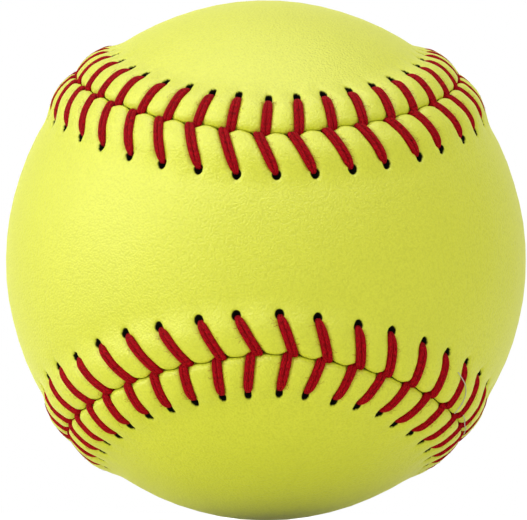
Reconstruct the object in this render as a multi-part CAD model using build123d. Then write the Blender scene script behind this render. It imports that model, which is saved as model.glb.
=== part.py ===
from build123d import *
import math
import os

# Ball and cover sizes, in millimetres
ball_radius = 48.5
leather_thickness = 1.3
cement_thickness = 0.2
thread_diameter = 1.4
lip_round = 1.0
half_gap = 0.25
crown_reach = 7.0
lip_reach = 11.5

# Seam line: angles of its arcs, seen from the middle of the ball
tip_tilt = math.radians(22.85)
side_angle = math.radians(56.1)
joint_turn = math.radians(16.7)

# Stitches
stitches = 88
hole_reach = 7.65
hole_lag = 1.9
hole_radius = 1.15
hole_offset = 0.35
leg_lead = 1.0
bend_radius = 0.88
bed_depth = 0.9
tail_share = 0.5

# Clearances, and how far the cutters reach past what they cut
thread_clearance = 0.1
run_clearance = 0.33
lip_clearance = 0.06
film_clearance = 0.02
cutter_reach = 6.0
neck_reach = 60.0

inner_radius = ball_radius - leather_thickness
coat_radius = inner_radius - film_clearance
core_radius = inner_radius - cement_thickness
thread_radius = thread_diameter / 2
lip_rise = thread_diameter + run_clearance + lip_clearance
crown_radius = ball_radius + lip_rise
underside_radius = crown_radius - leather_thickness
run_radius = inner_radius + thread_radius + run_clearance
leg_radius = crown_radius + thread_radius - bed_depth
groove_radius = thread_radius + thread_clearance
centre = Vector(0, 0, 0)


# Seam line: four congruent quarters, each of a side arc, a tip arc and a side arc
def turned(point, axis, angle):
    return point.rotate(Axis(centre, axis), math.degrees(angle))


def turn_between(axis, start, end):
    a = start - axis * start.dot(axis)
    b = end - axis * end.dot(axis)
    return math.atan2(axis.dot(a.cross(b)), a.dot(b))


def mirrored(point):
    return Vector(-point.X, point.Y, point.Z)


def quarter_turned(point):
    return Vector(-point.Z, -point.Y, point.X)


def first_quarter():
    joint = Vector(1, 0, 1).normalized()
    limb = Vector(-1, 0, 1).normalized()
    travel = Vector(0, -1, 0) * math.cos(joint_turn) - limb * math.sin(joint_turn)
    across = joint.cross(travel)
    across = across if across.dot(limb) > 0 else -across
    side_axis = joint * math.cos(side_angle) + across * math.sin(side_angle)
    tip_axis = Vector(0, -math.sin(tip_tilt), math.cos(tip_tilt))
    spread = side_axis.get_angle(tip_axis)
    tip_angle = side_angle - math.radians(spread)
    toward = (tip_axis - side_axis * tip_axis.dot(side_axis)).normalized()
    knee = side_axis * math.cos(side_angle) + toward * math.sin(side_angle)
    return [
        (side_axis, side_angle, joint, turn_between(side_axis, joint, knee)),
        (tip_axis, tip_angle, knee, turn_between(tip_axis, knee, mirrored(knee))),
        (mirrored(side_axis), side_angle, mirrored(knee), turn_between(side_axis, joint, knee)),
    ]


# Each arc: axis, angle from the axis, start point, signed turn, side of panel A, start along the seam
def seam_arcs():
    arcs = []
    along = 0.0
    quarter = first_quarter()
    side = 1
    for step in range(4):
        for axis, angle, start, turn in quarter:
            arcs.append((axis, angle, start, turn, side, along))
            along += abs(turn) * math.sin(angle) * ball_radius
        quarter = [
            (quarter_turned(axis), angle, quarter_turned(start), -turn)
            for axis, angle, start, turn in quarter
        ]
        side = -side
    return arcs, along


arcs, seam_length = seam_arcs()
pitch = seam_length / stitches


# A point from its place along the seam, its distance into panel A and its radius
def seam_point(along, reach, radius):
    along = along % seam_length
    axis, angle, start, turn, side, begin = [arc for arc in arcs if arc[5] <= along][-1]
    travelled = (along - begin) / (math.sin(angle) * ball_radius)
    radial = (start - axis * start.dot(axis)).normalized()
    radial = turned(radial, axis, math.copysign(travelled, turn))
    polar = angle + side * reach / ball_radius
    return (axis * math.cos(polar) + radial * math.sin(polar)) * radius


# Profile of a panel from the lip at the seam to its far end
def panel_profile(at, far):
    foot_half = (lip_reach + crown_reach) / 2
    far_half = (lip_reach + far) / 2
    nose = lip_round * (1 - math.sqrt(0.5))
    edge_low = at(half_gap, underside_radius)
    edge_high = at(half_gap, crown_radius - lip_round)
    crown_start = at(half_gap + lip_round, crown_radius)
    crown_end = at(crown_reach, crown_radius)
    foot = at(lip_reach, ball_radius)
    foot_low = at(lip_reach, inner_radius)
    under_end = at(crown_reach, underside_radius)
    lines = [
        Line(edge_low, edge_high),
        ThreePointArc(edge_high, at(half_gap + nose, crown_radius - nose), crown_start),
        ThreePointArc(crown_start, at(crown_reach / 2, crown_radius), crown_end),
        Bezier(crown_end, at(foot_half, crown_radius), at(foot_half, ball_radius), foot),
        ThreePointArc(foot, at(far_half, ball_radius), at(far, ball_radius)),
        Line(at(far, ball_radius), at(far, inner_radius)),
        ThreePointArc(at(far, inner_radius), at(far_half, inner_radius), foot_low),
        Bezier(foot_low, at(foot_half, inner_radius), at(foot_half, underside_radius), under_end),
        ThreePointArc(under_end, at(crown_reach / 2, underside_radius), edge_low),
    ]
    return make_face(lines)


# A profile turned along one arc of the seam, inside the arc or outside it
def tile(arc, turn_share, outside):
    axis, angle, start, turn = arc
    radial = (start - axis * start.dot(axis)).normalized()
    sign = 1 if outside else -1
    far = neck_reach if outside else angle * ball_radius

    def at(reach, radius):
        polar = angle + sign * reach / ball_radius
        return (radial * math.sin(polar) + axis * math.cos(polar)) * radius

    spin = axis if turn > 0 else -axis
    return revolve(panel_profile(at, far), Axis(centre, spin), math.degrees(abs(turn)) * turn_share)


# A whole panel: half a lobe and a quarter of the neck, mirrored twice
def panel_blank():
    side_arc, tip_arc = first_quarter()[:2]
    lobe_side = tile(side_arc, 1, False).split(Plane.YZ, keep=Keep.TOP)
    half_lobe = lobe_side.fuse(tile(tip_arc, 0.5, False))
    half_lobe = half_lobe.rotate(Axis(centre, side_arc[2]), 180)
    neck_side = tile(side_arc, 1, True).split(Plane.XY, keep=Keep.TOP)
    neck_tip = tile(tip_arc, 0.5, True).split(Plane.XY, keep=Keep.TOP)
    quarter = half_lobe.fuse(neck_side, neck_tip)
    half = quarter.fuse(quarter.mirror(Plane.XY))
    return half.fuse(half.mirror(Plane.YZ)).clean()


def other_panel(blank):
    return blank.rotate(Axis(centre, Vector(1, 0, 1)), 180)


def rod(start, end, radius):
    spine = end - start
    return Solid.make_cylinder(radius, spine.length, Plane(start, z_dir=spine))


# Where the stitch of one panel at a station goes through the leather and into the gap
def stitch_points(station, side):
    hole_along = station * pitch - hole_lag
    gap_along = station * pitch + side * leg_lead
    return [
        seam_point(hole_along, side * hole_reach, run_radius),
        seam_point(hole_along, side * hole_reach, leg_radius),
        seam_point(gap_along, 0, leg_radius),
        seam_point(gap_along, 0, run_radius),
    ]


# One needle's thread: a stitch in one panel, then under the other panel to its next stitch
def thread(first_side):
    points = []
    for station in range(stitches):
        side = first_side if station % 2 == 0 else -first_side
        points += stitch_points(station, side)
    tail = points[-1] + (points[0] - points[-1]) * tail_share
    path = FilletPolyline(*points, tail, radius=bend_radius)
    start = Plane(points[0], z_dir=points[1] - points[0])
    return sweep(start * Circle(thread_radius), path), path.length


# Cutters for the needle holes, the beds of the legs and the notches at the gap
def cutters(side):
    tools = []
    for station in range(stitches):
        low, top, gap_top, gap_low = stitch_points(station, side)
        hole = seam_point(station * pitch - hole_lag, side * (hole_reach + hole_offset), 1)
        tools.append(rod(hole * core_radius, hole * (crown_radius + cutter_reach), hole_radius))
        tools.append(rod(top, gap_top, groove_radius))
        for lead in (side, -side):
            dive = seam_point(station * pitch + lead * leg_lead, 0, 1)
            tools.append(rod(dive * core_radius, dive * (crown_radius + cutter_reach), groove_radius))
    return tools


def ball(radius):
    return Solid.make_sphere(radius, angle1=-90, angle2=90, angle3=360)


os.makedirs("parts", exist_ok=True)
export_step(ball(core_radius), "parts/core.step")
export_step(ball(coat_radius).cut(ball(core_radius)), "parts/cement_coat.step")
blank = panel_blank()
print("blank", len(blank.solids()), blank.volume, blank.is_valid, flush=True)
thread_a, length_a = thread(1)
thread_b, length_b = thread(-1)
section = math.pi * thread_radius**2
print("threads", thread_a.volume, thread_b.volume, length_a * section, length_b * section, flush=True)
export_step(thread_a, "parts/thread_a.step")
export_step(thread_b, "parts/thread_b.step")
panel_a = blank.cut(*cutters(1))
print("panel a", panel_a.volume, flush=True)
panel_b = other_panel(blank).cut(*cutters(-1))
print("panel b", panel_b.volume, flush=True)
export_step(panel_a, "parts/cover_panel_a.step")
export_step(panel_b, "parts/cover_panel_b.step")
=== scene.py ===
import bisect
import math
import random
from collections import namedtuple

import bmesh
import bpy
from mathutils import Matrix, Vector, noise


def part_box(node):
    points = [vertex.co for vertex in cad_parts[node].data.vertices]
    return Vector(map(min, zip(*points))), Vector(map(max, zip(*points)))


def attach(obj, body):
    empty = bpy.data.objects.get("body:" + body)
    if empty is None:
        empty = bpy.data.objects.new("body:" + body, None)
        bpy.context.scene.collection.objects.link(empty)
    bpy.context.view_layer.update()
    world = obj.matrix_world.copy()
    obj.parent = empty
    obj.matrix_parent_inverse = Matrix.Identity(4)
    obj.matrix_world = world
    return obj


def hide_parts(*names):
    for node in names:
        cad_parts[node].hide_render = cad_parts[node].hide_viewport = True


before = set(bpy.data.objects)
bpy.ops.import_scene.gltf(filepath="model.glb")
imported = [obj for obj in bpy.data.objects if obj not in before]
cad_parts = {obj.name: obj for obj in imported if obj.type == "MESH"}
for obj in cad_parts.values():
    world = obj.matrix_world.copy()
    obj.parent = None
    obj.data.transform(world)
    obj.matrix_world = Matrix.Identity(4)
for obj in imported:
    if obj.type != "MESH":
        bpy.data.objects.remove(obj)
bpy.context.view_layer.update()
mm = 0.001
centre = Vector((0, 0, 0))

# The ball's size comes from the frame, the seam's angles and the stitch count from the CAD model
seam = {
    "ballRadius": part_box("cover_panel_a")[1].x,
    "tipTilt": math.radians(22.85),
    "sideAngle": math.radians(56.1),
    "jointTurn": math.radians(16.7),
    "stitches": 88,
    "arcSlack": 1e-4,
}

# How one stitch lies along and across the seam; side 1 is panel A, side -1 is panel B
stitch = {
    "holeReach": {1: 8.0 * mm, -1: 6.95 * mm},
    "holeLag": {1: 2.45 * mm, -1: 1.4 * mm},
    "holeScale": {1: 1.0, -1: 1.08},
    "holeShown": {1: 0.72 * mm, -1: 0.88 * mm},
    "legLead": 0.6 * mm,
    "jitterAlong": 0.2 * mm,
    "jitterReach": 0.16 * mm,
    "jitterGap": 0.12 * mm,
    "seed": 11,
}

# The seam isn't sewn quite evenly: its line is pulled aside at the lobe tips and the joints and waves round
# the stitches, and the stitches run ahead and behind, by shares of their spacing
sewing = {
    "tipPull": 0.8 * mm,
    "tipSpan": 8.0 * mm,
    "jointPull": (-1.3 * mm, -0.4 * mm, 1.1 * mm, 1.1 * mm),
    "jointSpan": 24.0 * mm,
    "sewnReach": 14.0 * mm,
    "wave": 0.16 * mm,
    "waveReach": 4.5 * mm,
    "shift": 0.43,
    "sway": (-0.1, -0.168, -0.126),
    "swayStart": 11,
    "rowHalf": 8,
    "rowBow": 1.5,
}

# The two rows in the camera's view by middle stitch and panel side, in millimetres: how much further out
# their end stitches stand along the seam, at the gap and at the hole, and how the holes' reach changes
seenRows = {
    11: {
        1: {"gapEnd": 2.9, "holeEnd": 1.5, "holeMiddle": -0.1, "reachMiddle": 0.05, "reachEnd": -0.35},
        -1: {"gapEnd": 1.7, "holeEnd": 2.3, "holeMiddle": 0.4, "reachMiddle": 0.05, "reachEnd": 1.35},
    },
    55: {
        1: {"gapEnd": 1.7, "holeEnd": 1.9, "holeMiddle": 0.3, "reachMiddle": -0.4, "reachEnd": 1.3},
        -1: {"gapEnd": 1.7, "holeEnd": 0.5, "holeMiddle": -0.25, "reachMiddle": 0.2, "reachEnd": 0.2},
    },
}

# An arc of the seam: its axis, its angle from the axis, where it starts and how far it turns
plainArc = namedtuple("plainArc", "axis angle start turn")
# The same in its place: directions at its start, panel A's side, and its start and length along the seam
laidArc = namedtuple("laidArc", "axis angle radial sweep turn side begin length")


def smooth(t):
    t = max(0.0, min(1.0, t))
    return t * t * (3 - 2 * t)


# One up to the start, nought from a span further on
def fadeOut(value, start, span):
    return 1 - smooth((value - start) / span)


def turnBetween(axis, start, end):
    a = start - axis * start.dot(axis)
    b = end - axis * end.dot(axis)
    return math.atan2(axis.dot(a.cross(b)), a.dot(b))


def flipX(p):
    return Vector((-p.x, p.y, p.z))


def quarterTurn(p):
    return Vector((-p.z, -p.y, p.x))


# One quarter of the seam: side arc, tip arc, side arc
def firstQuarter():
    side = seam["sideAngle"]
    joint = Vector((1, 0, 1)).normalized()
    limb = Vector((-1, 0, 1)).normalized()
    travel = Vector((0, -1, 0)) * math.cos(seam["jointTurn"]) - limb * math.sin(seam["jointTurn"])
    across = joint.cross(travel)
    if across.dot(limb) < 0:
        across = -across
    sideAxis = joint * math.cos(side) + across * math.sin(side)
    tipAxis = Vector((0, -math.sin(seam["tipTilt"]), math.cos(seam["tipTilt"])))
    tip = side - sideAxis.angle(tipAxis)
    toward = (tipAxis - sideAxis * tipAxis.dot(sideAxis)).normalized()
    knee = sideAxis * math.cos(side) + toward * math.sin(side)
    sideTurn = turnBetween(sideAxis, joint, knee)
    return [
        plainArc(sideAxis, side, joint, sideTurn),
        plainArc(tipAxis, tip, knee, turnBetween(tipAxis, knee, flipX(knee))),
        plainArc(flipX(sideAxis), side, flipX(knee), sideTurn),
    ]


def radialAt(arc):
    return (arc.start - arc.axis * arc.start.dot(arc.axis)).normalized()


def arcLength(arc):
    return abs(arc.turn) * math.sin(arc.angle) * seam["ballRadius"]


# All twelve arcs end to end, and the seam's whole length
def seamArcs():
    arcs = []
    begin = 0.0
    quarter = firstQuarter()
    for side in (1, -1, 1, -1):
        for arc in quarter:
            radial = radialAt(arc)
            sweep = arc.axis.cross(radial) * math.copysign(1, arc.turn)
            length = arcLength(arc)
            arcs.append(laidArc(arc.axis, arc.angle, radial, sweep, abs(arc.turn), side, begin, length))
            begin += length
        quarter = [
            plainArc(quarterTurn(arc.axis), arc.angle, quarterTurn(arc.start), -arc.turn)
            for arc in quarter
        ]
    return arcs, begin


arcs, seamLength = seamArcs()
pitch = seamLength / seam["stitches"]


# A point from its place along the seam, its distance into panel A and its radius
def seamPoint(along, reach, radius):
    along = along % seamLength
    arc = [each for each in arcs if each.begin <= along][-1]
    t = (along - arc.begin) / arc.length * arc.turn
    out = arc.radial * math.cos(t) + arc.sweep * math.sin(t)
    polar = arc.angle + arc.side * reach / seam["ballRadius"]
    return (arc.axis * math.cos(polar) + out * math.sin(polar)) * radius


# The way back: where a point lies along the seam, and how far into panel A
def seamPlace(point):
    p = point.normalized()
    best = None
    for arc in arcs:
        t = math.atan2(p.dot(arc.sweep), p.dot(arc.radial))
        if -seam["arcSlack"] <= t <= arc.turn + seam["arcSlack"]:
            polar = math.acos(max(-1, min(1, p.dot(arc.axis))))
            reach = arc.side * (polar - arc.angle) * seam["ballRadius"]
            if best is None or abs(reach) < abs(best[1]):
                best = (arc.begin + t / arc.turn * arc.length, reach)
    return best


# Stations run a little ahead and behind of an even spacing
def stationPlace(i):
    turn = 2 * math.pi * (i - sewing["swayStart"]) / seam["stitches"]
    first, second, third = sewing["sway"]
    shift = sewing["shift"] + first * math.cos(turn) + second * math.sin(turn) + third * math.sin(2 * turn)
    return (i + shift) * pitch


def stitchesFrom(i, middle):
    half = seam["stitches"] / 2
    return (i - middle + half) % seam["stitches"] - half


# How a stitch stands off from an even row at the gap, at the hole and in reach, fading beyond the seen rows
def rowOffset(i, side):
    quarter = seam["stitches"] / 4
    half = sewing["rowHalf"]
    middle = min(seenRows, key=lambda each: abs(stitchesFrom(i, each)))
    own = seenRows[middle][side]
    k = stitchesFrom(i, middle)
    near = min(1, (quarter - abs(k)) / (quarter - half))
    lean = min(1, abs(k) / half)
    spread = math.copysign(lean ** sewing["rowBow"], k)
    hole = own["holeMiddle"] + own["holeEnd"] * spread
    reach = own["reachMiddle"] + (own["reachEnd"] - own["reachMiddle"]) * lean**2
    return own["gapEnd"] * spread * near * mm, hole * near * mm, reach * near * mm


# Each stitch is hand sewn, so no two lie quite alike
def sewnStitches():
    dice = random.Random(stitch["seed"])
    places = {}
    for i in range(seam["stitches"]):
        for side in (1, -1):
            station = stationPlace(i)
            gap, hole, reach = rowOffset(i, side)
            hole += station - stitch["holeLag"][side]
            reach += stitch["holeReach"][side]
            gap += station + side * stitch["legLead"]
            places[i, side] = {
                "hole": hole + dice.gauss(0, 1) * stitch["jitterAlong"],
                "reach": reach + dice.gauss(0, 1) * stitch["jitterReach"],
                "gap": gap + dice.gauss(0, 1) * stitch["jitterGap"],
            }
    return places


places = sewnStitches()
gapLine = {side: [places[i, side]["gap"] for i in range(seam["stitches"])] for side in (1, -1)}


# The three stitches nearest to a place along the seam, with the place told relative to each one's lap
def nearStitches(along, side):
    guess = bisect.bisect(gapLine[side], along % seamLength)
    near = []
    for i in (guess - 1, guess, guess + 1):
        place = places[i % seam["stitches"], side]
        lap = round((along - place["gap"]) / seamLength) * seamLength
        near.append((place, along - lap))
    return near


# How far along the seam a stitch's leg lies at some distance from the gap
def legAlong(place, reach):
    return place["gap"] + (place["hole"] - place["gap"]) * reach / place["reach"]


# How far the sewn line lies into panel A from the even line, fading out into the panels
def seamBend(along, reach):
    quarter = seamLength / 4
    step = math.floor(along / quarter)
    away = along - (step + 0.5) * quarter
    inward = 1 if step % 2 == 0 else -1
    pull = inward * sewing["tipPull"] * math.exp(-((away / sewing["tipSpan"]) ** 2))
    joint = round(along / quarter)
    away = along - joint * quarter
    pull += sewing["jointPull"][joint % 4] * math.exp(-((away / sewing["jointSpan"]) ** 2))
    place, a = min(nearStitches(along, 1), key=lambda near: abs(near[1] - near[0]["gap"]))
    wave = sewing["wave"] * math.cos(2 * math.pi * (a - place["gap"]) / pitch)
    pull *= fadeOut(abs(reach), 0, sewing["sewnReach"])
    return pull + wave * fadeOut(abs(reach), 0, sewing["waveReach"])


print("seam laid out:", len(arcs), "arcs,", round(seamLength / mm), "mm,", seam["stitches"], "stitches")

# The leather cover: its rows of vertices from the gap inwards, the lip's in millimetres, and its section
cover = {
    "lipRows": [0.1, 0.14, 0.3, 0.55, 0.85, 1.2, 1.6, 2.1, 2.6, 3.2, 3.8, 4.4, 5.0, 5.6, 6.2, 6.8,
                7.3, 7.75, 8.2, 8.65, 9.1, 9.6, 10.3, 11.2, 12.3, 13.5],
    "underRows": [2.1 * mm, 6.2 * mm, 9.1 * mm],
    "fieldRows": 6,
    "lastRowShare": 0.3,
    "columnsPerStitch": 17,
    "neckReach": 58.0 * mm,
    "cutDistance": 1e-7,
    "weldDistance": 2e-6,
    "leather": 1.3 * mm,
    "lipRise": 1.64 * mm,
    "lipDip": 0.3,
    "crownReach": 3.6 * mm,
    "footReach": 11.2 * mm,
    "footMargin": 1.0 * mm,
    "lipDrop": 0.74 * mm,
    "noseReach": 1.28 * mm,
    "jointRise": (0.10, 0.08, -0.22, -0.40),
    "jointRiseStart": 1.5 * mm,
}

# The leather's relief: a bed for each leg, a pillow between two, a dimple at each hole, a notch in the edge
# at each leg, creases on the lip, a slow unevenness all over and a rise behind panel A's lip
relief = {
    "bedDepth": 0.82 * mm,
    "bedWidth": 1.02 * mm,
    "bedStop": 1.2 * mm,
    "bedFade": 1.5 * mm,
    "pillow": 0.26 * mm,
    "pillowWidth": 1.5 * mm,
    "pillowReach": 5.0 * mm,
    "pillowFade": 4.0 * mm,
    "holeDepth": 1.1 * mm,
    "holeAlong": 0.62 * mm,
    "holeAcross": 1.0 * mm,
    "holeFloor": 0.1,
    "holeSlope": 1.3,
    "pucker": 0.2 * mm,
    "puckerSpread": 6,
    "notch": 0.4 * mm,
    "notchWidth": 0.9 * mm,
    "notchReach": 2.5 * mm,
    "crease": 0.08 * mm,
    "creaseSize": 1.7 * mm,
    "creaseReach": 8.0 * mm,
    "creaseFade": 5.0 * mm,
    "unevenness": 0.12 * mm,
    "unevenSize": 9.0 * mm,
    "tailRise": {1: 0.14 * mm, -1: 0.0},
    "tailReach": 9.0 * mm,
    "tailFade": 15.0 * mm,
}


# Height of the lip over the ball, rolled over at the gap and running out into the panel
def lipHeight(reach):
    inward = 1 - min(1.0, reach / cover["crownReach"])
    outward = smooth((reach - cover["crownReach"]) / (cover["footReach"] - cover["crownReach"]))
    nose = max(0.0, 1 - reach / cover["noseReach"])
    crown = 1 - cover["lipDip"] * inward * inward - outward
    return cover["lipRise"] * crown - cover["lipDrop"] * nose * nose * nose


# The lip stands a little higher at some joints of the seam than at others
def settled(point):
    rise = 0.0
    for (x, z), share in zip(((1, 1), (-1, 1), (-1, -1), (1, -1)), cover["jointRise"]):
        toward = max(0.0, (point.x * x + point.z * z) / (math.sqrt(2) * seam["ballRadius"]))
        rise += share * toward * toward
    return rise


# The lip's own rows, then even ones as far as the section goes
def coverRows(far):
    tipReach = firstQuarter()[1].angle * seam["ballRadius"]
    rows = [r * mm for r in cover["lipRows"]]
    step = (tipReach - rows[-1]) / cover["fieldRows"]
    reach = rows[-1] + step
    while reach < far - step * cover["lastRowShare"]:
        rows.append(reach)
        reach += step
    return rows + [far]


# The panel's section: the outside from far to lip, then the inside back to far
def coverSection(bm, arc, outside):
    radius = seam["ballRadius"]
    radial = radialAt(arc)
    sign = 1 if outside else -1
    rows = coverRows(cover["neckReach"] if outside else arc.angle * radius)
    under = sorted([rows[1], cover["crownReach"], cover["footReach"], *cover["underRows"]])
    inner = [r for r in rows if r > cover["footReach"] + cover["footMargin"]]
    spots = [(r, radius + lipHeight(r)) for r in reversed(rows)]
    spots += [(r, radius + max(lipHeight(r), 0) - cover["leather"]) for r in under]
    spots += [(r, radius - cover["leather"]) for r in inner]
    chain = []
    for reach, height in spots:
        polar = arc.angle + sign * reach / radius
        chain.append(bm.verts.new((radial * math.sin(polar) + arc.axis * math.cos(polar)) * height))
    return chain + [bm.edges.new(pair) for pair in zip(chain, chain[1:])]


def spinSection(bm, arc, outside):
    steps = round(arcLength(arc) / pitch * cover["columnsPerStitch"])
    geom = coverSection(bm, arc, outside)
    bmesh.ops.spin(bm, geom=geom, cent=centre, axis=arc.axis, angle=arc.turn, steps=steps)


def wholeMesh(bm):
    return bm.verts[:] + bm.edges[:] + bm.faces[:]


def weld(bm):
    bmesh.ops.remove_doubles(bm, verts=bm.verts[:], dist=cover["weldDistance"])


def keepUpper(bm):
    up = (0, 0, 1)
    cut = cover["cutDistance"]
    bmesh.ops.bisect_plane(bm, geom=wholeMesh(bm), dist=cut, plane_co=centre, plane_no=up, clear_inner=True)


# A quarter of panel A is half a lobe and half the neck: mirrored twice it is the whole panel
def panelBlank():
    sideArc, tipArc = firstQuarter()[:2]
    tipArc = tipArc._replace(turn=tipArc.turn / 2)
    turnOver = Matrix.Rotation(math.pi, 3, sideArc.start)
    lobeSide, lobeTip = [
        arc._replace(axis=turnOver @ arc.axis, start=turnOver @ arc.start) for arc in (sideArc, tipArc)
    ]
    bm = bmesh.new()
    spinSection(bm, lobeSide, False)
    spinSection(bm, sideArc, True)
    spinSection(bm, tipArc, True)
    keepUpper(bm)
    spinSection(bm, lobeTip, False)
    weld(bm)
    unmoved = Matrix.Identity(4)
    for axis in ("Z", "X"):
        geom = wholeMesh(bm)
        bmesh.ops.mirror(bm, geom=geom, matrix=unmoved, merge_dist=cover["weldDistance"], axis=axis)
    weld(bm)
    bmesh.ops.recalc_face_normals(bm, faces=bm.faces[:])
    return bm


# How the stitches shape the leather: how deep it sinks, and how far its edge is drawn back from the gap
def sewnShape(along, reach, side):
    sink = 0.0
    draw = 0.0
    pillow = 0.0
    for place, a in nearStitches(along, side):
        x = a - legAlong(place, reach)
        runOut = fadeOut(reach, place["reach"] - relief["bedStop"], relief["bedFade"])
        sink = max(sink, relief["bedDepth"] * math.exp(-((x / relief["bedWidth"]) ** 4)) * runOut)
        pillow = max(pillow, math.exp(-((abs(x) - pitch / 2) ** 2) / relief["pillowWidth"] ** 2))
        away = ((a - place["hole"]) / relief["holeAlong"]) ** 2
        away += ((reach - place["reach"]) / relief["holeAcross"]) ** 2
        away /= stitch["holeScale"][side] ** 2
        sink = max(sink, relief["holeDepth"] * fadeOut(away, relief["holeFloor"], relief["holeSlope"]))
        sink += relief["pucker"] * math.exp(-away / relief["puckerSpread"])
    for place, a in nearStitches(along, side) + nearStitches(along, -side):
        draw = max(draw, relief["notch"] * math.exp(-(((a - place["gap"]) / relief["notchWidth"]) ** 2)))
    pillow *= relief["pillow"] * fadeOut(reach, relief["pillowReach"], relief["pillowFade"])
    return sink - pillow, draw * fadeOut(reach, 0, relief["notchReach"])


# Where each face lies from its needle hole, in millimetres, for the leather's material
def mapHoles(bm, side, spots):
    layer = bm.loops.layers.uv.new("needleHole")
    unit = mm * stitch["holeScale"][side]
    for face in bm.faces:
        along = spots[face.verts[0]][0]
        place, a = min(nearStitches(along, side), key=lambda near: abs(near[1] - near[0]["hole"]))
        for loop in face.loops:
            ownAlong, ownReach = spots[loop.vert]
            ahead = (ownAlong - along + seamLength / 2) % seamLength - seamLength / 2
            loop[layer].uv = ((a + ahead - place["hole"]) / unit, (ownReach - place["reach"]) / unit)


# The blank panel gets its relief, its sewn edge and its unevenness, vertex by vertex
def dressPanel(bm, side):
    radius = seam["ballRadius"]
    lipStart = cover["lipRows"][0] * mm
    spots = {}
    for v in bm.verts:
        along, reach = seamPlace(v.co)
        reach *= side
        spots[v] = (along, reach)
        height = v.co.length
        uneven = noise.noise(v.co / relief["unevenSize"]) * relief["unevenness"]
        tail = smooth(reach / relief["tailReach"]) * fadeOut(reach, relief["tailReach"], relief["tailFade"])
        uneven += relief["tailRise"][side] * tail
        if reach < sewing["sewnReach"]:
            sink = draw = 0.0
            if height - radius > lipHeight(max(reach, lipStart)) - cover["leather"] / 2:
                sink, draw = sewnShape(along, reach, side)
                crease = noise.noise(v.co / relief["creaseSize"]) * relief["crease"]
                sink += crease * fadeOut(reach, relief["creaseReach"], relief["creaseFade"])
            sink -= lipHeight(max(reach, cover["jointRiseStart"])) * settled(v.co)
            v.co = seamPoint(along, side * (reach + draw) + seamBend(along, reach), height - sink)
        v.co *= 1 + uneven / radius
    mapHoles(bm, side, spots)


# A mesh as a smooth piece that rides with the ball
def addPiece(name, mesh, material):
    for face in mesh.polygons:
        face.use_smooth = True
    mesh.materials.clear()
    mesh.materials.append(material)
    piece = bpy.data.objects.new(name, mesh)
    bpy.context.scene.collection.objects.link(piece)
    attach(piece, "root")
    return piece


def coverPanels(material):
    blank = panelBlank()
    for node, side in (("cover_panel_a", 1), ("cover_panel_b", -1)):
        bm = blank.copy()
        if side < 0:
            halfTurn = Matrix.Rotation(math.pi, 3, Vector((1, 0, 1)).normalized())
            bmesh.ops.rotate(bm, verts=bm.verts[:], cent=centre, matrix=halfTurn)
        dressPanel(bm, side)
        print(node, "dressed:", len(bm.verts), "vertices")
        name = "leather_" + node[-1]
        mesh = bpy.data.meshes.new(name)
        bm.to_mesh(mesh)
        bm.free()
        piece = addPiece(name, mesh, material)
        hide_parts(node)
    blank.free()


# The two threads, each of two plies. A ply's route has a distance, a depth and a width at each point: past
# the leg's end out of its hole, by shares of the leg over the lip, and from the gap down into it
thread = {
    "plyRadius": 0.5 * mm,
    "plySpread": 0.43 * mm,
    "thinShare": 0.62,
    "outOfHole": [(0.3 * mm, 0.9 * mm, 0.3), (0.15 * mm, 0.66 * mm, 0.5), (-0.8 * mm, 0.26 * mm, 0.85)],
    "overLip": [0.68, 0.42, 0.18],
    "sunk": 0.26 * mm,
    "intoGap": [(0.25 * mm, 0.41 * mm, 0.9), (-0.15 * mm, 0.9 * mm, 0.6), (-0.3 * mm, 1.5 * mm, 0.4)],
    "noseReach": 0.8 * mm,
    "bevelResolution": 2,
    "stepsPerPoint": 4,
}


# A point on the sewn lip, by its distance from the gap and its height over the leather
def onSeam(along, reach, side, lift):
    across = side * reach + seamBend(along, reach)
    flat = seamPoint(along, across, seam["ballRadius"])
    lip = lipHeight(max(reach, thread["noseReach"]))
    return flat.normalized() * (seam["ballRadius"] + lip * (1 + settled(flat)) + lift)


# The points of one ply over a stitch, with its width
def plyPoints(i, side, ply):
    place = places[i, side]
    end = place["reach"] - stitch["holeShown"][side]
    route = [(end + past, depth, width) for past, depth, width in thread["outOfHole"]]
    route += [(end * share, thread["sunk"], 1.0) for share in thread["overLip"]]
    route += thread["intoGap"]
    points = []
    for reach, depth, width in route:
        along = legAlong(place, reach) + thread["plySpread"] * ply * width
        points.append((onSeam(along, reach, side, -depth), width))
    return points


def newCurve(name, thickness, bevelResolution, steps):
    curve = bpy.data.curves.new(name, "CURVE")
    curve.dimensions = "3D"
    curve.resolution_u = steps
    curve.bevel_depth = thickness
    curve.bevel_resolution = bevelResolution
    curve.use_fill_caps = True
    return curve


def addSpline(curve, points):
    spline = curve.splines.new("BEZIER")
    spline.bezier_points.add(len(points) - 1)
    for knot, (place, width) in zip(spline.bezier_points, points):
        knot.co = place
        knot.handle_left_type = knot.handle_right_type = "AUTO"
        knot.radius = width


# The curve's tube as a mesh piece
def curvePiece(name, curve, material):
    line = bpy.data.objects.new(name + "_line", curve)
    bpy.context.scene.collection.objects.link(line)
    bpy.context.view_layer.update()
    mesh = bpy.data.meshes.new_from_object(line.evaluated_get(bpy.context.evaluated_depsgraph_get()))
    bpy.data.objects.remove(line)
    mesh.name = name
    print(name, "made:", len(mesh.polygons), "faces")
    return addPiece(name, mesh, material)


def threadPiece(name, firstSide, material):
    curve = newCurve(name, thread["plyRadius"], thread["bevelResolution"], thread["stepsPerPoint"])
    thin = thread["thinShare"]
    for ply in (1, -1):
        points = []
        for i in range(seam["stitches"]):
            points += plyPoints(i, firstSide if i % 2 == 0 else -firstSide, ply)
        addSpline(curve, [(place, thin + (1 - thin) * width) for place, width in points])
    piece = curvePiece(name, curve, material)
    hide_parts(name.replace("red_", ""))


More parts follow.
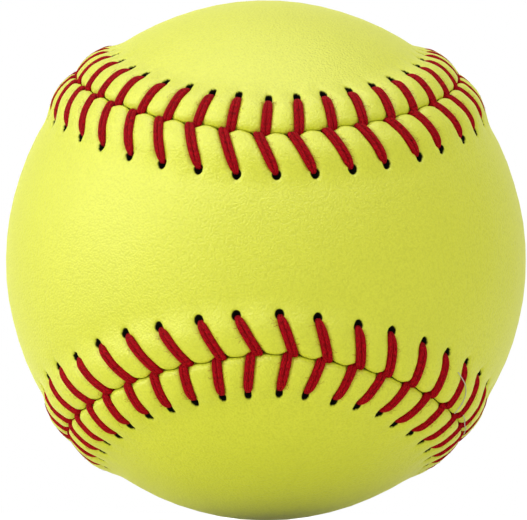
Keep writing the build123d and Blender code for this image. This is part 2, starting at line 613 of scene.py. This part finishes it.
# Loose fibres that stand off the legs of the stitches
fuzz = {
    "perLeg": 9,
    "thickness": 0.015 * mm,
    "rootShare": (0.1, 0.85),
    "rootAside": 0.7 * mm,
    "reachOut": (0.35 * mm, 1.3 * mm),
    "slide": 0.5 * mm,
    "middleSlide": 0.2,
    "lift": 0.3 * mm,
    "liftShare": (0.3, 1.2),
    "tipLift": 0.5,
    "bevelResolution": 0,
    "stepsPerPoint": 3,
    "seed": 5,
}


def fibrePoints(dice, place, side):
    reach = place["reach"] * dice.uniform(*fuzz["rootShare"])
    away = dice.choice((-1, 1))
    root = legAlong(place, reach) + away * fuzz["rootAside"]
    tip = root + away * dice.uniform(*fuzz["reachOut"])
    slide = dice.gauss(0, fuzz["slide"])
    lift = fuzz["lift"] * dice.uniform(*fuzz["liftShare"])
    knots = [
        (root, reach, 0),
        ((root + tip) / 2, reach + slide * fuzz["middleSlide"], lift),
        (tip, reach + slide, lift * fuzz["tipLift"]),
    ]
    return [(onSeam(along, out, side, height), 1.0) for along, out, height in knots]


def fuzzPiece(material):
    dice = random.Random(fuzz["seed"])
    curve = newCurve("thread_fuzz", fuzz["thickness"], fuzz["bevelResolution"], fuzz["stepsPerPoint"])
    for key, place in places.items():
        for _ in range(fuzz["perLeg"]):
            addSpline(curve, fibrePoints(dice, place, key[1]))
    curvePiece("thread_fuzz", curve, material)


# A wisp of dried cement left on the stitches and in the gap, in millimetres along the seam and into panel A
wisp = {
    "thickness": 0.09 * mm,
    "onStitches": [(366.4, 6.3), (368.0, 5.9), (370.4, 5.1), (372.4, 3.4), (373.5, 1.2), (373.7, 0.2)],
    "inGap": [(377.2, 0.9), (379.2, 0.8), (381.6, 0.4), (384.0, 0.1), (386.4, -0.2)],
    "lift": 0.5 * mm,
    "bevelResolution": 1,
    "stepsPerPoint": 4,
}


def wispPiece(material):
    curve = newCurve("cement_wisp", wisp["thickness"], wisp["bevelResolution"], wisp["stepsPerPoint"])
    for line in (wisp["onStitches"], wisp["inGap"]):
        addSpline(curve, [(onSeam(along * mm, reach * mm, 1, wisp["lift"]), 1.0) for along, reach in line])
    curvePiece("cement_wisp", curve, material)


# Materials
def newMaterial(name):
    material = bpy.data.materials.new(name)
    material.use_nodes = True
    tree = material.node_tree
    return material, tree, tree.nodes["Principled BSDF"]


def link(tree, a, b):
    tree.links.new(a, b)


def addNode(tree, kind, **values):
    node = tree.nodes.new(kind)
    for key, value in values.items():
        setattr(node, key, value)
    return node


# A socket that follows another from one range of values to the next
def rangeNode(tree, source, **limits):
    node = addNode(tree, "ShaderNodeMapRange")
    link(tree, source, node.inputs["Value"])
    for name, (low, high) in limits.items():
        node.inputs[name + " Min"].default_value = low
        node.inputs[name + " Max"].default_value = high
    return node.outputs["Result"]


# A tone that wanders between two colours, for all the ball's materials; its relief is the cloud as a height
def wanderingTone():
    group = bpy.data.node_groups.new("wanderingTone", "ShaderNodeTree")
    for name in ("Place", "Scale", "Detail", "Low", "High", "Shade", "Colour"):
        kind = {"Place": "Vector", "Shade": "Color", "Colour": "Color"}.get(name, "Float")
        group.interface.new_socket(name, in_out="INPUT", socket_type="NodeSocket" + kind)
    group.interface.new_socket("Tone", in_out="OUTPUT", socket_type="NodeSocketColor")
    group.interface.new_socket("Relief", in_out="OUTPUT", socket_type="NodeSocketFloat")
    enter = addNode(group, "NodeGroupInput").outputs
    leave = addNode(group, "NodeGroupOutput").inputs
    cloud = addNode(group, "ShaderNodeTexNoise")
    spread = addNode(group, "ShaderNodeMapRange")
    mix = addNode(group, "ShaderNodeMix", data_type="RGBA")
    link(group, enter["Place"], cloud.inputs["Vector"])
    link(group, enter["Scale"], cloud.inputs["Scale"])
    link(group, enter["Detail"], cloud.inputs["Detail"])
    link(group, cloud.outputs["Fac"], spread.inputs["Value"])
    link(group, enter["Low"], spread.inputs["From Min"])
    link(group, enter["High"], spread.inputs["From Max"])
    link(group, spread.outputs["Result"], mix.inputs["Factor"])
    link(group, enter["Shade"], mix.inputs["A"])
    link(group, enter["Colour"], mix.inputs["B"])
    link(group, mix.outputs["Result"], leave["Tone"])
    link(group, cloud.outputs["Fac"], leave["Relief"])
    return group


tones = wanderingTone()


def toneNode(tree, place, values):
    tone = addNode(tree, "ShaderNodeGroup", node_tree=tones)
    link(tree, place, tone.inputs["Place"])
    for name, value in values.items():
        tone.inputs[name].default_value = value
    return tone.outputs


def bumpNode(tree, height, strength, distance):
    bump = addNode(tree, "ShaderNodeBump", invert=True)
    bump.inputs["Strength"].default_value = strength
    bump.inputs["Distance"].default_value = distance
    link(tree, height, bump.inputs["Height"])
    return bump.outputs["Normal"]


leatherLook = {
    "tone": {
        "Colour": (0.762, 0.792, 0.042, 1),
        "Shade": (0.732, 0.766, 0.038, 1),
        "Scale": 60,
        "Detail": 5,
        "Low": 0.3,
        "High": 0.62,
    },
    "roughness": 0.5,
    "specular": 0.4,
    "grainScale": 2900,
    "grainDepth": 0.26 * mm,
    "grainStrength": 0.4,
    # painted shade: the colour of the grain's hollows, a little darker than the leather
    "poreShadeColour": (0.687, 0.718, 0.034, 1),
    "poreScale": 1400,
    "poreDetail": 4,
    "poreShare": 0.5,
    # the grain heights over which the hollows' painted shade comes in
    "poreShadeRange": (0.5, 0.95),
    # painted shade: the needle holes near black, for the depth their dimples lack
    "holeShadeColour": (0.006, 0.006, 0.004, 1),
    "holeSize": (0.72, 1.02, 1),
    "holeEdge": (1.12, 0.9),
    "holeRoughness": 1.0,
    "holeSpecular": 0.0,
}


# One where the needle holes are, nought on the leather round them: where the holes' painted shade goes
def holeShadeMask(tree):
    where = addNode(tree, "ShaderNodeUVMap", uv_map="needleHole")
    stretch = addNode(tree, "ShaderNodeVectorMath", operation="DIVIDE")
    stretch.inputs[1].default_value = leatherLook["holeSize"]
    far = addNode(tree, "ShaderNodeVectorMath", operation="LENGTH")
    link(tree, where.outputs["UV"], stretch.inputs[0])
    link(tree, stretch.outputs["Vector"], far.inputs[0])
    return rangeNode(tree, far.outputs["Value"], From=leatherLook["holeEdge"])


# The height of the hide: fine grain with pores in it
def leatherGrain(tree, place):
    grain = addNode(tree, "ShaderNodeTexVoronoi", feature="SMOOTH_F1")
    grain.inputs["Scale"].default_value = leatherLook["grainScale"]
    pores = addNode(tree, "ShaderNodeTexNoise")
    pores.inputs["Scale"].default_value = leatherLook["poreScale"]
    pores.inputs["Detail"].default_value = leatherLook["poreDetail"]
    total = addNode(tree, "ShaderNodeMath", operation="MULTIPLY_ADD")
    total.inputs[1].default_value = leatherLook["poreShare"]
    link(tree, place, grain.inputs["Vector"])
    link(tree, place, pores.inputs["Vector"])
    link(tree, pores.outputs["Fac"], total.inputs[0])
    link(tree, grain.outputs["Distance"], total.inputs[2])
    return total.outputs["Value"]


def leatherMaterial():
    material, tree, bsdf = newMaterial("optic_yellow_leather")
    place = addNode(tree, "ShaderNodeTexCoord").outputs["Object"]
    hole = holeShadeMask(tree)
    grain = leatherGrain(tree, place)
    # The grain's hollows are painted a little darker: painted shade, so the grain shows where the light is
    # flat
    poreShade = rangeNode(tree, grain, From=leatherLook["poreShadeRange"])
    colour = toneNode(tree, place, leatherLook["tone"])["Tone"]
    # Painted shade in the grain's hollows, then the needle holes painted near black as the shade of holes
    # deeper than their dimples
    for mask, paint in ((poreShade, "poreShadeColour"), (hole, "holeShadeColour")):
        mix = addNode(tree, "ShaderNodeMix", data_type="RGBA")
        mix.inputs["B"].default_value = leatherLook[paint]
        link(tree, mask, mix.inputs["Factor"])
        link(tree, colour, mix.inputs["A"])
        colour = mix.outputs["Result"]
    # In the holes the leather is also fully rough and without shine, so that their painted shade stays dark
    roughness = rangeNode(tree, hole, To=(leatherLook["roughness"], leatherLook["holeRoughness"]))
    specular = rangeNode(tree, hole, To=(leatherLook["specular"], leatherLook["holeSpecular"]))
    normal = bumpNode(tree, grain, leatherLook["grainStrength"], leatherLook["grainDepth"])
    link(tree, colour, bsdf.inputs["Base Color"])
    link(tree, roughness, bsdf.inputs["Roughness"])
    link(tree, specular, bsdf.inputs["Specular IOR Level"])
    link(tree, normal, bsdf.inputs["Normal"])
    return material


threadLook = {
    "tone": {
        "Colour": (0.540, 0.005, 0.012, 1),
        "Shade": (0.130, 0.001, 0.002, 1),
        "Scale": 1,
        "Detail": 3,
        "Low": 0.34,
        "High": 0.6,
    },
    "fibresRound": 18,
    "fibresAlong": 2200,
    "twist": 120,
    "fibreStrength": 0.75,
    "fibreDepth": 0.22 * mm,
    "roughness": 0.9,
    "specular": 0.05,
}


# The fibres run round the ply as they run along it, so their texture is twisted with the ply's map
def threadMaterial():
    material, tree, bsdf = newMaterial("red_cotton_thread")
    where = addNode(tree, "ShaderNodeUVMap", uv_map="UVMap")
    parts = addNode(tree, "ShaderNodeSeparateXYZ")
    link(tree, where.outputs["UV"], parts.inputs["Vector"])
    turn = addNode(tree, "ShaderNodeMath", operation="MULTIPLY_ADD")
    turn.inputs[1].default_value = threadLook["twist"]
    link(tree, parts.outputs["X"], turn.inputs[0])
    link(tree, parts.outputs["Y"], turn.inputs[2])
    twisted = addNode(tree, "ShaderNodeCombineXYZ")
    link(tree, parts.outputs["X"], twisted.inputs["X"])
    link(tree, turn.outputs["Value"], twisted.inputs["Y"])
    stretched = addNode(tree, "ShaderNodeVectorMath", operation="MULTIPLY")
    stretched.inputs[1].default_value = (threadLook["fibresAlong"], threadLook["fibresRound"], 1)
    link(tree, twisted.outputs["Vector"], stretched.inputs[0])
    tone = toneNode(tree, stretched.outputs["Vector"], threadLook["tone"])
    link(tree, tone["Tone"], bsdf.inputs["Base Color"])
    normal = bumpNode(tree, tone["Relief"], threadLook["fibreStrength"], threadLook["fibreDepth"])
    link(tree, normal, bsdf.inputs["Normal"])
    bsdf.inputs["Roughness"].default_value = threadLook["roughness"]
    bsdf.inputs["Specular IOR Level"].default_value = threadLook["specular"]
    return material


# Foam and cement: a colour and a roughness for each, with one fine mottle for all
mottledLook = {
    "colour": {
        "pale_cement": (0.55, 0.54, 0.42),
        "core_foam": (0.72, 0.68, 0.52),
        "dried_cement": (0.035, 0.028, 0.016),
    },
    "roughness": {"pale_cement": 0.5, "core_foam": 0.8, "dried_cement": 0.6},
    "tone": {"Scale": 500, "Detail": 2, "Low": 0.35, "High": 0.65},
    "shade": 0.75,
    "strength": 0.5,
    "depth": 0.2 * mm,
}


def mottledMaterial(name):
    material, tree, bsdf = newMaterial(name)
    place = addNode(tree, "ShaderNodeTexCoord").outputs["Object"]
    colour = mottledLook["colour"][name]
    shade = [c * mottledLook["shade"] for c in colour]
    tone = toneNode(tree, place, {"Colour": (*colour, 1), "Shade": (*shade, 1), **mottledLook["tone"]})
    normal = bumpNode(tree, tone["Relief"], mottledLook["strength"], mottledLook["depth"])
    link(tree, tone["Tone"], bsdf.inputs["Base Color"])
    link(tree, normal, bsdf.inputs["Normal"])
    bsdf.inputs["Roughness"].default_value = mottledLook["roughness"][name]
    return material


def dressNode(node, material):
    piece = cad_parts[node]
    piece.data.materials.clear()
    piece.data.materials.append(material)


coverPanels(leatherMaterial())
redThread = threadMaterial()
threadPiece("red_thread_a", 1, redThread)
threadPiece("red_thread_b", -1, redThread)
fuzzPiece(redThread)
wispPiece(mottledMaterial("pale_cement"))
dressNode("core", mottledMaterial("core_foam"))
dressNode("cement_coat", mottledMaterial("dried_cement"))

# Floor, light and camera; each lamp has its place, size, power and whether it only gives shine
studio = {
    "white": (1, 1, 1, 1),
    "floorSize": 4.0,
    "floorColour": (0.98, 0.98, 0.98, 1),
    "floorRoughness": 0.9,
    "floorGlow": 0.45,
    "surround": (0.6, 1.0),
    "lamps": {
        "key": ((-0.92, -0.72, 0.5), 0.8, 2.45, False),
        "left": ((-1.1, -0.4, 0.1), 0.6, 2.0, False),
        "top": ((0.15, -0.25, 1.1), 0.9, 2.0, False),
        "topShine": ((-0.15, -0.45, 1.05), 2.0, 40, True),
        "leftShine": ((-1.15, -0.4, 0.1), 1.8, 38, True),
    },
    "cameraDistance": 0.729,
    "pitch": math.radians(-3.7),
    "yaw": math.radians(0.54),
    "roll": math.radians(1.38),
    "ballPixels": 260.0,
    "centrePixel": (265.9, 260.4),
    "imageSize": (527, 520),
    "sensorWidth": 36,
}


# One for rays from the camera and for what shine and glass show of the background
def seenDirectly(tree):
    path = addNode(tree, "ShaderNodeLightPath")
    total = path.outputs["Is Camera Ray"]
    for kind in ("Is Glossy Ray", "Is Transmission Ray"):
        either = addNode(tree, "ShaderNodeMath", operation="MAXIMUM")
        link(tree, total, either.inputs[0])
        link(tree, path.outputs[kind], either.inputs[1])
        total = either.outputs["Value"]
    return total


def paleFloor():
    bm = bmesh.new()
    bmesh.ops.create_grid(bm, x_segments=1, y_segments=1, size=studio["floorSize"] / 2)
    bmesh.ops.translate(bm, verts=bm.verts[:], vec=(0, 0, -seam["ballRadius"]))
    mesh = bpy.data.meshes.new("floor")
    bm.to_mesh(mesh)
    bm.free()
    floor = bpy.data.objects.new("floor", mesh)
    bpy.context.scene.collection.objects.link(floor)
    material, tree, bsdf = newMaterial("pale_floor")
    bsdf.inputs["Base Color"].default_value = studio["floorColour"]
    bsdf.inputs["Roughness"].default_value = studio["floorRoughness"]
    bsdf.inputs["Emission Color"].default_value = studio["white"]
    glow = addNode(tree, "ShaderNodeMath", operation="MULTIPLY")
    glow.inputs[1].default_value = studio["floorGlow"]
    link(tree, seenDirectly(tree), glow.inputs[0])
    link(tree, glow.outputs["Value"], bsdf.inputs["Emission Strength"])
    mesh.materials.append(material)


def surroundLight():
    world = bpy.data.worlds.new("studio")
    bpy.context.scene.world = world
    world.use_nodes = True
    tree = world.node_tree
    back = tree.nodes["Background"]
    back.inputs["Color"].default_value = studio["white"]
    level = rangeNode(tree, seenDirectly(tree), To=studio["surround"])
    link(tree, level, back.inputs["Strength"])


def studioLamps():
    for name, (place, size, power, onlyShine) in studio["lamps"].items():
        lamp = bpy.data.lights.new(name, "AREA")
        lamp.size = size
        lamp.energy = power
        holder = bpy.data.objects.new(name, lamp)
        holder.visible_diffuse = not onlyShine
        holder.location = place
        holder.rotation_euler = (-Vector(place)).to_track_quat("-Z", "Y").to_euler()
        bpy.context.scene.collection.objects.link(holder)


def photoCamera():
    turn = Matrix.Rotation(studio["roll"], 3, "Z") @ Matrix.Rotation(studio["yaw"], 3, "Y")
    turn = (turn @ Matrix.Rotation(studio["pitch"], 3, "X")).transposed()
    distance = studio["cameraDistance"]
    radius = seam["ballRadius"]
    wide, high = studio["imageSize"]
    focal = studio["ballPixels"] * math.sqrt(distance**2 - radius**2) / radius
    data = bpy.data.cameras.new("photo")
    data.sensor_width = studio["sensorWidth"]
    data.lens = focal * data.sensor_width / wide
    data.shift_x = (wide / 2 - studio["centrePixel"][0]) / wide
    data.shift_y = (studio["centrePixel"][1] - high / 2) / wide
    camera = bpy.data.objects.new("photo", data)
    right, ahead, up = [turn @ Vector(v) for v in ((1, 0, 0), (0, 1, 0), (0, 0, 1))]
    axes = Matrix((right, up, -ahead)).transposed()
    camera.matrix_world = Matrix.Translation(-ahead * distance) @ axes.to_4x4()
    bpy.context.scene.collection.objects.link(camera)
    bpy.context.scene.camera = camera


paleFloor()
surroundLight()
studioLamps()
photoCamera()
bpy.context.scene.view_settings.view_transform = "Standard"
